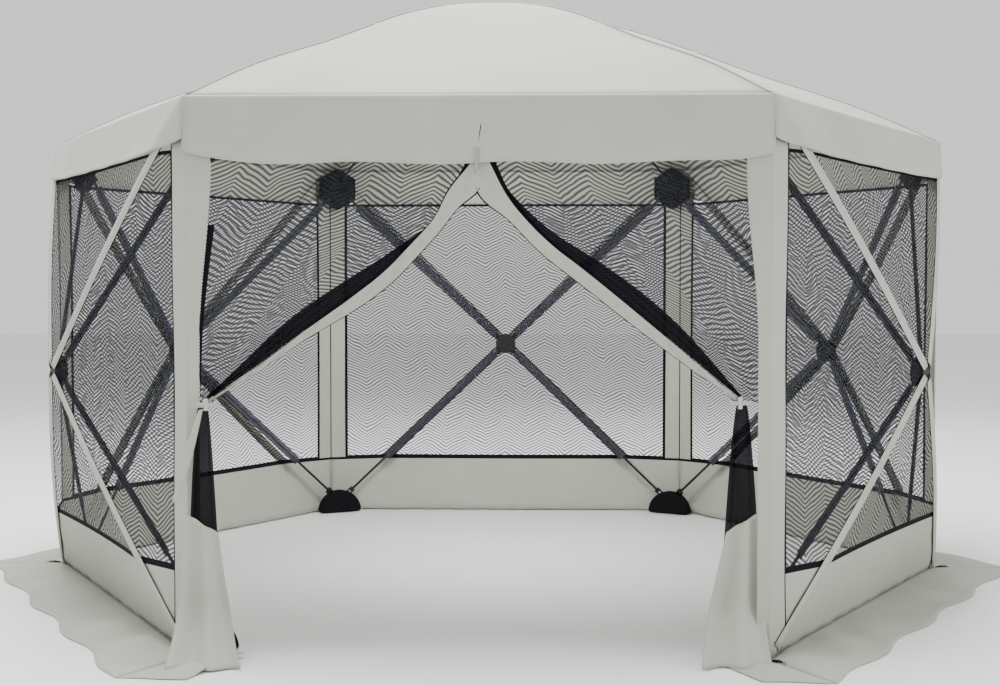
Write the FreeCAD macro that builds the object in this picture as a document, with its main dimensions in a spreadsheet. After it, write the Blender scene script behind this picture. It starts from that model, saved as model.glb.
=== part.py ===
import FreeCAD, Part
import Sketcher
import math
import os

V = FreeCAD.Vector
UP = V(0, 0, 1)
doc = FreeCAD.newDocument("screen_house")

# Driving dimensions in millimetres. The house stands on z = 0, centred on the Z axis, with its
# door wall facing -Y. Reaches are distances from the Z axis to a corner of a hexagon.
DIMENSIONS = [
    ("fabric_reach", "1750"), ("eave_height", "1694"), ("peak_height", "2230"),
    ("canopy_gauge", "3"), ("panel_gauge", "2.5"), ("seam_gap", "1"),
    ("hub_reach", "1665"), ("upper_hub_height", "1618"), ("lower_hub_height", "45"),
    ("hub_core_radius", "30"), ("hub_core_depth", "56"), ("pin_reach", "97"),
    ("arm_width", "26"), ("arm_height", "19"), ("arm_overhang", "9"),
    ("fork_gap", "12.6"), ("fork_depth", "21"), ("pin_radius", "3"), ("pin_clearance", "0.05"),
    ("roof_arm_rise", "33"),
    ("pole_radius", "5.5"), ("eye_radius", "8.5"), ("eye_width", "11.8"),
    ("wall_bulge", "261"), ("wall_tip_reach", "44"), ("wall_hub_radius", "50"),
    ("wall_hub_depth", "26"), ("wall_channel_height", "19"), ("channel_width", "12.8"),
    ("wall_cap_radius", "40"), ("wall_cap_depth", "16"),
    ("roof_hub_height", "2200"), ("roof_tip_reach", "118"), ("roof_hub_radius", "128"),
    ("roof_hub_floor", "18"), ("roof_channel_floor", "14.5"), ("roof_hub_top", "13"),
    ("roof_pole_sag", "44"), ("crown_hole_radius", "26"), ("crown_cap_radius", "22"),
    ("cover_radius", "84"), ("cover_depth", "70"), ("foot_cover_radius", "106"),
    ("foot_cover_overhang", "10"),
    ("panel_apex", "222"), ("panel_margin", "4"), ("panel_foot", "6"), ("panel_hole_radius", "53"),
    ("valance_depth", "165"), ("strip_width", "71"), ("layer_step", "4.5"),
    ("skirt_inner_reach", "1764"), ("skirt_outer_reach", "2050"), ("skirt_gauge", "3"),
    ("door_half_width", "762"), ("door_tie_height", "775"), ("door_apex_height", "1500"),
    ("flap_depth", "9"), ("ring_radius", "14"), ("ring_bore_radius", "6.5"), ("ring_gauge", "4"),
]
DERIVED = [
    ("wall_rise", "=(upper_hub_height - lower_hub_height) / 2"),
    ("wall_hub_height", "=(upper_hub_height + lower_hub_height) / 2"),
    ("wall_diagonal", "=sqrt(hub_reach * hub_reach / 4 + wall_rise * wall_rise)"),
    ("wall_run", "=wall_diagonal - pin_reach - wall_tip_reach"),
    ("wall_pole_length", "=sqrt(wall_run * wall_run + wall_bulge * wall_bulge)"),
    ("roof_arm_run", "=sqrt(pin_reach * pin_reach - roof_arm_rise * roof_arm_rise)"),
    ("roof_pin_reach", "=hub_reach - roof_arm_run"),
    ("roof_pin_height", "=upper_hub_height + roof_arm_rise"),
    ("roof_run", "=roof_pin_reach - roof_tip_reach"),
    ("roof_rise", "=roof_hub_height - roof_pin_height"),
    ("roof_pole_length", "=sqrt(roof_run * roof_run + roof_rise * roof_rise)"),
    ("roof_arc_radius",
     "=roof_pole_length * roof_pole_length / (8 * roof_pole_sag) + roof_pole_sag / 2"),
]

dims = doc.addObject("Spreadsheet::Sheet", "dims")
for row, (alias, entry) in enumerate(DIMENSIONS + DERIVED, start=1):
    dims.set(f"A{row}", alias)
    dims.set(f"B{row}", entry)
    dims.setAlias(f"B{row}", alias)
doc.recompute()


def size(alias):
    """The present value of one cell, in millimetres."""
    return float(dims.get(alias))


def bound(kind, name, place=None, **formulas):
    """A primitive whose properties follow formulas on the cells."""
    part = doc.addObject(kind, name)
    if place is not None:
        part.Placement = place
    for prop, formula in formulas.items():
        part.setExpression(prop, formula)
    return part


def box(name, length, width, height, place=None):
    return bound("Part::Box", name, place, Length=length, Width=width, Height=height)


def cylinder(name, radius, height, place=None):
    return bound("Part::Cylinder", name, place, Radius=radius, Height=height)


def hexagon_prism(name, reach, height, place=None):
    prism = bound("Part::Prism", name, place, Circumradius=reach, Height=height)
    prism.Polygon = 6
    return prism


def fuse(name, parts, place=None):
    joined = doc.addObject("Part::MultiFuse", name)
    joined.Shapes = parts
    if place is not None:
        joined.Placement = place
    return joined


def cut(name, base, tool, place=None):
    left = doc.addObject("Part::Cut", name)
    left.Base = base
    left.Tool = tool
    if place is not None:
        left.Placement = place
    return left


def common(name, base, tool):
    shared = doc.addObject("Part::Common", name)
    shared.Base = base
    shared.Tool = tool
    return shared


def compound(name, parts):
    group = doc.addObject("Part::Compound", name)
    group.Links = parts
    return group


def moved(origin, x_axis=V(1, 0, 0), z_axis=UP):
    """A placement from an origin, a direction for local X and one for local Z."""
    y_axis = z_axis.cross(x_axis)
    return FreeCAD.Placement(origin, FreeCAD.Rotation(x_axis, y_axis, z_axis, "ZXY"))


def shifted(x, y, z):
    return FreeCAD.Placement(V(x, y, z), FreeCAD.Rotation())


def ray(degrees):
    """A level unit vector at an angle from +X."""
    return V(math.cos(math.radians(degrees)), math.sin(math.radians(degrees)), 0)


def unit(vector):
    return vector * (1 / vector.Length)


nodes = []


def node(part, name):
    """Marks an object as one named sub-part of the assembly."""
    part.Label = name
    nodes.append(part)
    return part


CORNERS = [60 * i for i in range(6)]
WALLS = [30, 90, 150, 210, 330]
DOOR = 270


# Poles. In a pole's own frame the hinge pin is on Z at the origin, the pole runs along X, and Y
# is the side that faces out of the wall or roof.
def straight_rod(name, length):
    return cylinder(name, "dims.pole_radius", length, moved(V(0, 0, 0), UP, V(1, 0, 0)))


def arched_rod(name):
    length, arc, sag = size("roof_pole_length"), size("roof_arc_radius"), size("roof_pole_sag")
    half_angle = math.degrees(math.asin(length / 2 / arc))
    place = FreeCAD.Placement(V(length / 2, sag - arc, 0), FreeCAD.Rotation(UP, 90 - half_angle))
    rod = bound("Part::Torus", name, place, Radius1="dims.roof_arc_radius", Radius2="dims.pole_radius")
    rod.Angle1, rod.Angle2, rod.Angle3 = -180, 180, 2 * half_angle
    return rod


def pole(name, rod, pin, along, outward):
    """A rod with a flat eye on its hub end, bored for the hinge pin."""
    half = size("eye_width") / 2
    eye = cylinder(name + "_eye", "dims.eye_radius", "dims.eye_width", shifted(0, 0, -half))
    bore = cylinder(name + "_bore", "dims.pin_radius + dims.pin_clearance",
                    "dims.eye_width + 2", shifted(0, 0, -half - 1))
    solid = fuse(name + "_solid", [rod, eye])
    across = unit(along.cross(outward))
    return node(cut(name, solid, bore, moved(pin, along, across)), name)


# Corner hubs: a moulded core with one forked arm for each pole, and a steel pin in each fork.
def hub_arm(name, centre, along, outward):
    across = unit(along.cross(outward))
    reach, width, height = size("pin_reach"), size("arm_width"), size("arm_height")
    place = moved(centre, along, across)
    bar = box(name + "_bar", "dims.pin_reach + dims.arm_overhang", "dims.arm_height",
              "dims.arm_width", shifted(0, -height / 2, -width / 2))
    gap = box(name + "_gap", "dims.fork_depth + dims.arm_overhang + 1", "dims.arm_height + 2",
              "dims.fork_gap",
              shifted(reach - size("fork_depth"), -height / 2 - 1, -size("fork_gap") / 2))
    hole = cylinder(name + "_hole", "dims.pin_radius", "dims.arm_width + 2",
                    shifted(reach, 0, -width / 2 - 1))
    arm = cut(name, bar, fuse(name + "_voids", [gap, hole]), place)
    pin = cylinder(name + "_pin", "dims.pin_radius", "dims.arm_width",
                   moved(centre + along * reach - across * (width / 2), along, across))
    return arm, pin


def hub_core(name, centre, inward):
    back = centre - inward * (size("hub_core_depth") / 2)
    return cylinder(name, "dims.hub_core_radius", "dims.hub_core_depth", moved(back, UP, inward))


def wall_arm_direction(corner, wall, upper):
    """The level and rise of a wall pole, from its corner hub towards the middle of its wall."""
    middle = ray(wall) * (size("hub_reach") * math.cos(math.radians(30)))
    target = V(middle.x, middle.y, size("wall_hub_height"))
    start = ray(corner) * size("hub_reach")
    start.z = size("upper_hub_height") if upper else size("lower_hub_height")
    return unit(target - start), start


def walls_at(corner):
    return [w for w in WALLS if abs((w - corner + 180) % 360 - 180) == 30]


pins = []


def corner_hub(name, corner, upper):
    inward = ray(corner) * -1
    arms = []
    centre = None
    for wall in walls_at(corner):
        along, centre = wall_arm_direction(corner, wall, upper)
        arms.append(hub_arm(f"{name}_arm_{wall}", centre, along, ray(wall)))
    if upper:
        slope = V(0, 0, size("roof_arm_rise")) + inward * size("roof_arm_run")
        arms.append(hub_arm(name + "_roof_arm", centre, unit(slope), UP))
    pins.extend(pin for arm, pin in arms)
    core = hub_core(name + "_core", centre, inward)
    return fuse(name, [core] + [arm for arm, pin in arms])


def upper_cover(index, corner, hub):
    """A six-sided fabric cover around an upper hub, open where the hub's arms come out."""
    outward = ray(corner)
    front = outward * (size("hub_reach") + size("cover_depth") / 2)
    front.z = size("upper_hub_height")
    block = hexagon_prism(f"upper_cover_{index}_block", "dims.cover_radius", "dims.cover_depth",
                          moved(front, UP, outward * -1))
    return cut(f"upper_cover_{index}", block, hub)


def lower_cover(index, corner, hub):
    """A half-round fabric cover that stands on the ground over a lower hub."""
    outward = ray(corner)
    front = outward * (size("hub_reach") + size("foot_cover_overhang"))
    front.z = 2
    block = cylinder(f"lower_cover_{index}_block", "dims.foot_cover_radius", "dims.cover_depth",
                     moved(front, outward.cross(UP), outward * -1))
    block.Angle = 180
    return cut(f"lower_cover_{index}", block, hub)


upper_hubs = [corner_hub(f"upper_hub_{i}", c, True) for i, c in enumerate(CORNERS, 1)]
lower_hubs = [corner_hub(f"lower_hub_{i}", c, False) for i, c in enumerate(CORNERS, 1)]
node(compound("upper_hubs", upper_hubs), "upper_hubs")
node(compound("lower_hubs", lower_hubs), "lower_hubs")
node(compound("hub_pins", pins), "hub_pins")
node(compound("upper_hub_covers",
              [upper_cover(i, c, upper_hubs[i - 1]) for i, c in enumerate(CORNERS, 1)]),
     "upper_hub_covers")
node(compound("lower_hub_covers",
              [lower_cover(i, c, lower_hubs[i - 1]) for i, c in enumerate(CORNERS, 1)]),
     "lower_hub_covers")


# Roof: a hub under the crown and six arched poles that run to the upper corner hubs.
def roof_hub():
    level = size("roof_hub_height")
    floor, channel = size("roof_hub_floor"), size("roof_channel_floor")
    disc = cylinder("roof_hub_disc", "dims.roof_hub_radius",
                    "dims.roof_hub_floor + dims.roof_hub_top", shifted(0, 0, level - floor))
    half = size("channel_width") / 2
    channels = []
    for corner in CORNERS:
        side = ray(corner + 90) * -half
        place = moved(V(side.x, side.y, level - channel), ray(corner))
        channels.append(box(f"roof_channel_{corner}", "dims.roof_hub_radius + 5",
                            "dims.channel_width", "60", place))
    return cut("roof_hub", disc, fuse("roof_channels", channels))


def roof_pull_strap():
    """The webbing tab on the crown and the stud that holds it to the roof hub."""
    base = size("roof_hub_height") + size("roof_hub_top")
    top = size("peak_height")
    post = cylinder("strap_post", "9", "19", shifted(0, 0, base))
    tab = cylinder("strap_tab", "dims.crown_cap_radius", "5", shifted(0, 0, top - 1))
    return fuse("roof_pull_strap", [post, tab])


node(roof_hub(), "roof_hub")
node(roof_pull_strap(), "roof_pull_strap")
for i, corner in enumerate(CORNERS, 1):
    inward = ray(corner) * -1
    pin_point = ray(corner) * size("roof_pin_reach")
    pin_point.z = size("roof_pin_height")
    lean = unit(inward * size("roof_run") + UP * size("roof_rise"))
    pole(f"roof_pole_{i}", arched_rod(f"roof_rod_{i}"), pin_point, lean, UP)


# Walls: four straight poles meet at a slotted hub in the middle of each wall.
def wall_hub(name, centre, outward):
    """A round hub whose crossed channels hold the pole tips, with a round cap on its face."""
    place = moved(centre, UP, outward)
    half_depth, half_width = size("wall_hub_depth") / 2, size("channel_width") / 2
    disc = cylinder(name + "_disc", "dims.wall_hub_radius", "dims.wall_hub_depth",
                    shifted(0, 0, -half_depth))
    cap = cylinder(name + "_cap", "dims.wall_cap_radius", "dims.wall_cap_depth",
                   shifted(0, 0, half_depth))
    slope = math.degrees(math.atan2(size("hub_reach") / 2, size("wall_rise")))
    channels = []
    for turn in (slope, 180 - slope):
        rest = FreeCAD.Rotation(UP, turn)
        corner = rest.multVec(V(-size("wall_hub_radius") - 5, -half_width,
                                -size("wall_channel_height") / 2))
        channels.append(box(f"{name}_channel_{round(turn)}", "2 * dims.wall_hub_radius + 10",
                            "dims.channel_width", "dims.wall_channel_height",
                            FreeCAD.Placement(corner, rest)))
    solid = fuse(name + "_solid", [disc, cap])
    return cut(name, solid, fuse(name + "_channels", channels), place)


def wall_centre(wall):
    centre = ray(wall) * (size("hub_reach") * math.cos(math.radians(30)) + size("wall_bulge"))
    centre.z = size("wall_hub_height")
    return centre


for i, wall in enumerate(WALLS, 1):
    node(wall_hub(f"wall_hub_{i}", wall_centre(wall), ray(wall)), f"wall_hub_{i}")
    for letter, turn, upper in (("a", 30, True), ("b", -30, True), ("c", 30, False), ("d", -30, False)):
        flat, hub_centre = wall_arm_direction(wall + turn, wall, upper)
        lean = unit(flat * size("wall_run") + ray(wall) * size("wall_bulge"))
        name = f"wall_pole_{i}{letter}"
        pole(name, straight_rod(name + "_rod", "dims.wall_pole_length"),
             hub_centre + flat * size("pin_reach"), lean, ray(wall))


# Canopy: six gores over the roof poles, cut apart along the ridge seams.
CANOPY_RINGS = [
    ("dims.fabric_reach", 0), ("dims.fabric_reach * 0.84", 120), ("dims.fabric_reach * 0.6", 262),
    ("dims.fabric_reach * 0.32", 434), ("dims.fabric_reach * 0.15", 507),
    ("dims.fabric_reach * 0.057", 535),
]


def dome(name, drop):
    rings = []
    for i, (reach, height) in enumerate(CANOPY_RINGS):
        ring = bound("Part::RegularPolygon", f"{name}_ring_{i}",
                     shifted(0, 0, size("eave_height") + height - drop), Circumradius=reach)
        ring.Polygon = 6
        rings.append(ring)
    loft = doc.addObject("Part::Loft", name)
    loft.Sections = rings
    loft.Solid = True
    loft.Ruled = True
    return loft


def ridge_slabs(name, height, low):
    slabs = []
    for corner in CORNERS[:3]:
        start = ray(corner) * -2300 + ray(corner + 90) * (-size("seam_gap") / 2)
        slabs.append(box(f"{name}_{corner}", "4600", "dims.seam_gap", height,
                         moved(V(start.x, start.y, low), ray(corner))))
    return slabs


def canopy():
    hole = cylinder("crown_hole", "dims.crown_hole_radius", "80", shifted(0, 0, size("peak_height") - 60))
    inside = fuse("canopy_inside", [dome("canopy_inner", size("canopy_gauge")), hole]
                  + ridge_slabs("canopy_seam", "700", 1600))
    return cut("roof_canopy", dome("canopy_outer", 0), inside)


node(canopy(), "roof_canopy")


# Wall fabric. Each wall with poles is a shallow four-sided pyramid that the hub pushes outwards.
def pyramid(name, wall, offset, apex_offset=0):
    """A solid pyramid on the wall plane, moved out by an offset."""
    half = (size("fabric_reach") - 2 * size("panel_margin")) / 2
    foot, top = size("panel_foot"), size("eave_height") - 4
    wedge = bound("Part::Wedge", name)
    wedge.Xmin, wedge.Xmax, wedge.Zmin, wedge.Zmax = -half, half, foot, top
    wedge.Ymin, wedge.Ymax = 0, size("panel_apex")
    wedge.X2min = wedge.X2max = 0
    middle = size("wall_hub_height")
    wedge.Z2min = wedge.Z2max = middle
    plane = size("fabric_reach") * math.cos(math.radians(30))
    outward = ray(wall)
    side = outward.cross(UP)
    base = outward * (plane + offset)
    wedge.Placement = FreeCAD.Placement(base, FreeCAD.Rotation(side, outward, UP, "ZXY"))
    return wedge


def panel_shell(name, wall, offset):
    outer = pyramid(name + "_outer", wall, offset)
    inner = pyramid(name + "_inner", wall, offset - size("panel_gauge"))
    return cut(name, outer, inner)


def wall_box(name, wall, left, right, low, high, back=-20, front=300):
    """A block over part of a wall: left to right along it, low to high, back to front across it."""
    plane = size("fabric_reach") * math.cos(math.radians(30))
    outward = ray(wall)
    side = outward.cross(UP)
    origin = outward * (plane + back) + side * left
    origin.z = low
    block = box(name, f"{right - left}", f"{front - back}", f"{high - low}")
    block.Placement = FreeCAD.Placement(origin, FreeCAD.Rotation(side, outward, UP, "ZXY"))
    return block


def wall_panel(index, wall):
    name = f"wall_panel_{index}"
    outward = ray(wall)
    plane = size("fabric_reach") * math.cos(math.radians(30))
    centre = outward * (plane - 50)
    centre.z = size("wall_hub_height")
    hole = cylinder(name + "_hole", "dims.panel_hole_radius", "350", moved(centre, UP, outward))
    half = size("fabric_reach") / 2 - size("panel_margin")
    voids = [hole]
    for turn, rise in ((1, size("eave_height") - 4 - size("wall_hub_height")),
                       (-1, size("wall_hub_height") - size("panel_foot"))):
        for sign in (1, -1):
            along = unit(outward.cross(UP) * (half * sign) + UP * (rise * turn))
            across = unit(outward.cross(along))
            start = centre - across * (size("seam_gap") / 2)
            voids.append(box(f"{name}_seam_{turn}_{sign}", "1300", "dims.seam_gap", "350",
                             moved(start, along, outward)))
    return cut(name, panel_shell(name + "_shell", wall, 0), fuse(name + "_voids", voids))


for i, wall in enumerate(WALLS, 1):
    node(wall_panel(i, wall), f"wall_panel_{i}")


def valance():
    """The solid band round the top of the walls, outside the panels."""
    low, high = size("eave_height") - size("valance_depth"), size("eave_height") - 4
    half = size("fabric_reach") / 2 - size("panel_margin")
    step = size("layer_step")
    bands = []
    for wall in WALLS:
        shell = panel_shell(f"valance_shell_{wall}", wall, 2 * step)
        block = wall_box(f"valance_block_{wall}", wall, -half, half, low, high + 10)
        bands.append(common(f"valance_{wall}", shell, block))
    bands.append(wall_box("valance_door", DOOR, -half, half, low, high,
                          2 * step - size("panel_gauge"), 2 * step))
    return compound("valance", bands)


def corner_strips():
    """Upright bands over the panel edges, two at each corner."""
    high = size("eave_height") - size("valance_depth") - 3
    half = size("fabric_reach") / 2 - size("panel_margin")
    width, step = size("strip_width"), size("layer_step")
    strips = []
    for wall in WALLS:
        shell = panel_shell(f"strip_shell_{wall}", wall, step)
        for side, left, right in (("left", -half, width - half), ("right", half - width, half)):
            block = wall_box(f"strip_block_{wall}_{side}", wall, left, right, 0, high)
            strips.append(common(f"strip_{wall}_{side}", shell, block))
    for side, left, right in (("left", -half, width - half), ("right", half - width, half)):
        strips.append(wall_box(f"strip_door_{side}", DOOR, left, right, size("panel_foot"), high,
                               step - size("panel_gauge"), step))
    return compound("corner_strips", strips)


node(valance(), "valance")
node(corner_strips(), "corner_strips")


# Door: two flaps parted from the top of the zip and tied back to the corners.
def door_flap(side, sign):
    name = f"door_flap_{side}"
    body = doc.addObject("PartDesign::Body", name)
    doc.recompute()
    half = size("fabric_reach") / 2 - size("panel_margin") - size("strip_width") - 3
    top = size("eave_height") - size("valance_depth") - 4
    outline = [
        (f"{sign} * (dims.fabric_reach / 2 - dims.panel_margin - dims.strip_width - 3)", sign * half,
         "dims.panel_foot", size("panel_foot")),
        (f"{sign} * (dims.fabric_reach / 2 - dims.panel_margin - dims.strip_width - 3)", sign * half,
         "dims.eave_height - dims.valance_depth - 4", top),
        (f"{sign} * 14", sign * 14, "dims.eave_height - dims.valance_depth - 4", top),
        (f"{sign} * 14", sign * 14, "dims.door_apex_height", size("door_apex_height")),
        (f"{sign} * dims.door_half_width * 0.52", sign * size("door_half_width") * 0.52,
         "dims.door_tie_height * 1.33", size("door_tie_height") * 1.33),
        (f"{sign} * dims.door_half_width", sign * size("door_half_width"),
         "dims.door_tie_height", size("door_tie_height")),
        (f"{sign} * dims.door_half_width * 0.97", sign * size("door_half_width") * 0.97,
         "dims.panel_foot", size("panel_foot")),
    ]
    sketch = body.newObject("Sketcher::SketchObject", name + "_outline")
    plane = [f for f in body.Origin.OriginFeatures if f.Role == "XZ_Plane"][0]
    sketch.AttachmentSupport = [(plane, "")]
    sketch.MapMode = "FlatFace"
    points = [V(x, z, 0) for _, x, _, z in outline]
    count = len(points)
    for i, point in enumerate(points):
        sketch.addGeometry(Part.LineSegment(point, points[(i + 1) % count]), False)
    for i in range(count):
        sketch.addConstraint(Sketcher.Constraint("Coincident", i, 2, (i + 1) % count, 1))
    for i, (x_formula, x, z_formula, z) in enumerate(outline):
        across = sketch.addConstraint(Sketcher.Constraint("DistanceX", -1, 1, i, 1, x))
        sketch.setExpression(f"Constraints[{across}]", x_formula)
        above = sketch.addConstraint(Sketcher.Constraint("DistanceY", -1, 1, i, 1, z))
        sketch.setExpression(f"Constraints[{above}]", z_formula)
    pad = body.newObject("PartDesign::Pad", name + "_pad")
    pad.Profile = sketch
    pad.setExpression("Length", "dims.flap_depth")
    pad.Reversed = True
    plane_y = -size("fabric_reach") * math.cos(math.radians(30))
    body.Placement = shifted(0, plane_y, 0)
    return body


def tie_back(side, sign):
    """The strap and toggle that hold one flap against its corner."""
    plane_y = -size("fabric_reach") * math.cos(math.radians(30))
    x, z = sign * (size("door_half_width") + 22), size("door_tie_height")
    strap = cylinder(f"tie_strap_{side}", "5", "64",
                     moved(V(x - 32, plane_y - 12, z), UP, V(1, 0, 0)))
    toggle = cylinder(f"tie_toggle_{side}", "7", "36", shifted(x, plane_y - 12, z - 18))
    return fuse(f"tie_back_{side}", [strap, toggle])


for side, sign in (("left", -1), ("right", 1)):
    node(door_flap(side, sign), f"door_flap_{side}")
    node(tie_back(side, sign), f"tie_back_{side}")


def zip_tape():
    """The closed top of the door zip, sewn down the middle of the door wall."""
    plane = size("layer_step") * 2
    return wall_box("zip_tape", DOOR, -11, 11, size("door_apex_height") + 8,
                    size("door_apex_height") + 128, plane + 0.5, plane + 2.5)


def zip_slider():
    front = size("layer_step") * 2 + 3.2
    low = size("door_apex_height") + 12
    body = wall_box("zip_slider", DOOR, -7, 7, low, low + 22, front, front + 7)
    return body


def zip_pull():
    front = size("layer_step") * 2 + 10.6
    low = size("door_apex_height") - 34
    return wall_box("zip_pull", DOOR, -5, 5, low, low + 60, front, front + 2.5)


node(zip_tape(), "zip_tape")
node(zip_slider(), "zip_slider")
node(zip_pull(), "zip_pull")


# Ground skirt, with a ring for a stake on a webbing tab at each corner.
def ground_skirt():
    outer = hexagon_prism("skirt_outer", "dims.skirt_outer_reach", "dims.skirt_gauge")
    inner = hexagon_prism("skirt_inner", "dims.skirt_inner_reach", "20", shifted(0, 0, -5))
    doorway = box("skirt_doorway", "2 * dims.door_half_width", "800", "20",
                  shifted(-size("door_half_width"), -2300, -5))
    voids = [inner, doorway] + ridge_slabs("skirt_seam", "20", -5)
    return cut("ground_skirt", outer, fuse("skirt_voids", voids))


def stake_ring(index, corner):
    centre = ray(corner) * (size("fabric_reach") + 62)
    centre.z = size("skirt_gauge") + 0.5
    washer = cylinder(f"ring_{index}_washer", "dims.ring_radius", "dims.ring_gauge",
                      shifted(centre.x, centre.y, centre.z))
    bore = cylinder(f"ring_{index}_bore", "dims.ring_bore_radius", "dims.ring_gauge + 4",
                    shifted(centre.x, centre.y, centre.z - 2))
    return cut(f"ring_{index}", washer, bore)


def stake_strap(index, corner):
    start = ray(corner) * (size("fabric_reach") + 14) + ray(corner + 90) * -12
    start.z = size("skirt_gauge") + 0.5
    tab = box(f"strap_{index}_tab", "40", "24", "3", moved(start, ray(corner)))
    centre = ray(corner) * (size("fabric_reach") + 62)
    clear = cylinder(f"strap_{index}_clear", "dims.ring_radius", "20", shifted(centre.x, centre.y, 0))
    return cut(f"strap_{index}", tab, clear)


node(ground_skirt(), "ground_skirt")
node(compound("stake_rings", [stake_ring(i, c) for i, c in enumerate(CORNERS, 1)]), "stake_rings")
node(compound("stake_straps", [stake_strap(i, c) for i, c in enumerate(CORNERS, 1)]), "stake_straps")

doc.recompute()

problems = []
for item in doc.Objects:
    if "Invalid" in item.State or "Error" in item.State:
        problems.append(f"{item.Name}: {item.State}")
    shape = getattr(item, "Shape", None)
    if shape is not None and (shape.isNull() or not shape.isValid()):
        problems.append(f"{item.Name}: bad shape")
if problems:
    raise RuntimeError("; ".join(problems))

os.makedirs("parts", exist_ok=True)
for part in nodes:
    part.Shape.exportStep(f"parts/{part.Label}.step")
    print(part.Label, len(part.Shape.Solids), round(part.Shape.Volume))
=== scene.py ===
import math

import bpy
import numpy as np
from mathutils import Matrix, Vector


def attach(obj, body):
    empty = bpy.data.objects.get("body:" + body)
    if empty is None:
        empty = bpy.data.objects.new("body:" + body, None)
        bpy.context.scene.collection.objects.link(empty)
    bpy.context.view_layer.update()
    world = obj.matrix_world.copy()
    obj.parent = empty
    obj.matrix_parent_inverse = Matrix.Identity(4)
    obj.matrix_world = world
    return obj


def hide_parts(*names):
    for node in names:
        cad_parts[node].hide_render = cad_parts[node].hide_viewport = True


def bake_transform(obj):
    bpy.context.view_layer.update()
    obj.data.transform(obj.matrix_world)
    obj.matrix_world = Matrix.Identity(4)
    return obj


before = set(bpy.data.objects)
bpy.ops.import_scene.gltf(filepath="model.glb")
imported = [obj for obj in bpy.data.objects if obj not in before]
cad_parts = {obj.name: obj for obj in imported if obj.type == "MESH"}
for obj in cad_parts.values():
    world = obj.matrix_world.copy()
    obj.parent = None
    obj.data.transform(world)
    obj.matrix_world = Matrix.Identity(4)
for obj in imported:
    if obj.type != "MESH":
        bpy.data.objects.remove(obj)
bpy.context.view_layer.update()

bpy.ops.object.select_all(action="DESELECT")

# ---- Roof canopy ----
# Six gores of coated polyester are sewn edge to edge along the ridges and stretched over the
# arched roof poles. A lapped seam joins the crown panel to the lower panel of each gore.
FIXED = "cover_and_corner_hubs"
UP = Vector((0, 0, 1))
EAVE, REACH = 1.694, 1.75
LEVEL = math.cos(math.radians(30))
RIDGE = [(0, 0), (0.16, 0.120), (0.40, 0.262), (0.68, 0.434), (0.85, 0.507), (0.943, 0.535),
         (1, 0.5365)]
CLOTH = 0.0012


def ray(degrees):
    return Vector((math.cos(math.radians(degrees)), math.sin(math.radians(degrees)), 0))


def through(points, x):
    """A smooth curve through a list of (x, y) points, read at x."""
    xs, ys = np.array(points).T
    slopes = np.gradient(ys, xs)
    i = int(np.clip(np.searchsorted(xs, x) - 1, 0, len(xs) - 2))
    gap = xs[i + 1] - xs[i]
    s = (x - xs[i]) / gap
    return float((2 * s**3 - 3 * s**2 + 1) * ys[i] + (s**3 - 2 * s**2 + s) * gap * slopes[i]
                 + (3 * s**2 - 2 * s**3) * ys[i + 1] + (s**3 - s**2) * gap * slopes[i + 1])


def paint(name, colour, rough=0.8, **sockets):
    """A new finish with its shader, ready for nodes."""
    finish = bpy.data.materials.new(name)
    finish.use_nodes = True
    shader = finish.node_tree.nodes["Principled BSDF"]
    shader.inputs["Base Color"].default_value = (*colour, 1)
    shader.inputs["Roughness"].default_value = rough
    for socket, value in sockets.items():
        shader.inputs[socket.replace("_", " ")].default_value = value
    return finish


def wire(finish, kind, links=None, **values):
    """Adds one node to a finish, sets its values and links its inputs."""
    tree = finish.node_tree
    made = tree.nodes.new(kind)
    for key, value in values.items():
        if key in made.inputs:
            made.inputs[key].default_value = value
        else:
            setattr(made, key, value)
    for socket, source in (links or {}).items():
        tree.links.new(source, made.inputs[socket])
    return made


def plug(finish, source, socket):
    tree = finish.node_tree
    tree.links.new(source, tree.nodes["Principled BSDF"].inputs[socket])


def ramp(finish, source, *stops):
    """A colour ramp with stops of (place, colour)."""
    made = wire(finish, "ShaderNodeValToRGB", {"Fac": source})
    while len(made.color_ramp.elements) < len(stops):
        made.color_ramp.elements.new(0.5)
    for element, (place, colour) in zip(made.color_ramp.elements, stops):
        element.position = place
        element.color = (*colour, 1)
    return made.outputs["Color"]


def woven(name, light, dark, rough, sheen=0.25):
    """Plain-woven cloth: crossed threads, with slow changes of tone over the whole sheet."""
    finish = paint(name, light, rough, Sheen_Weight=sheen, Specular_IOR_Level=0.12)
    flat = wire(finish, "ShaderNodeTexCoord").outputs["UV"]
    solid = wire(finish, "ShaderNodeTexCoord").outputs["Object"]
    clouds = wire(finish, "ShaderNodeTexNoise", {"Vector": solid}, Scale=2.3, Detail=6,
                  Roughness=0.62)
    plug(finish, ramp(finish, clouds.outputs["Fac"], (0.3, dark), (0.7, light)), "Base Color")
    warp = wire(finish, "ShaderNodeTexWave", {"Vector": flat}, Scale=160, bands_direction="X")
    weft = wire(finish, "ShaderNodeTexWave", {"Vector": flat}, Scale=160, bands_direction="Y")
    threads = wire(finish, "ShaderNodeMath", {0: warp.outputs["Fac"], 1: weft.outputs["Fac"]},
                   operation="MULTIPLY")
    slack = wire(finish, "ShaderNodeTexNoise", {"Vector": solid}, Scale=5, Detail=3)
    soft = wire(finish, "ShaderNodeBump", {"Height": slack.outputs["Fac"]}, Strength=0.25,
                Distance=0.02)
    fine = wire(finish, "ShaderNodeBump", {"Height": threads.outputs[0], "Normal": soft.outputs[0]},
                Strength=0.2, Distance=0.0004)
    plug(finish, fine.outputs["Normal"], "Normal")
    return finish


canopy_cloth = woven("canopy_cloth", (0.43, 0.447, 0.385), (0.385, 0.40, 0.34), 0.82, 0.1)


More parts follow.
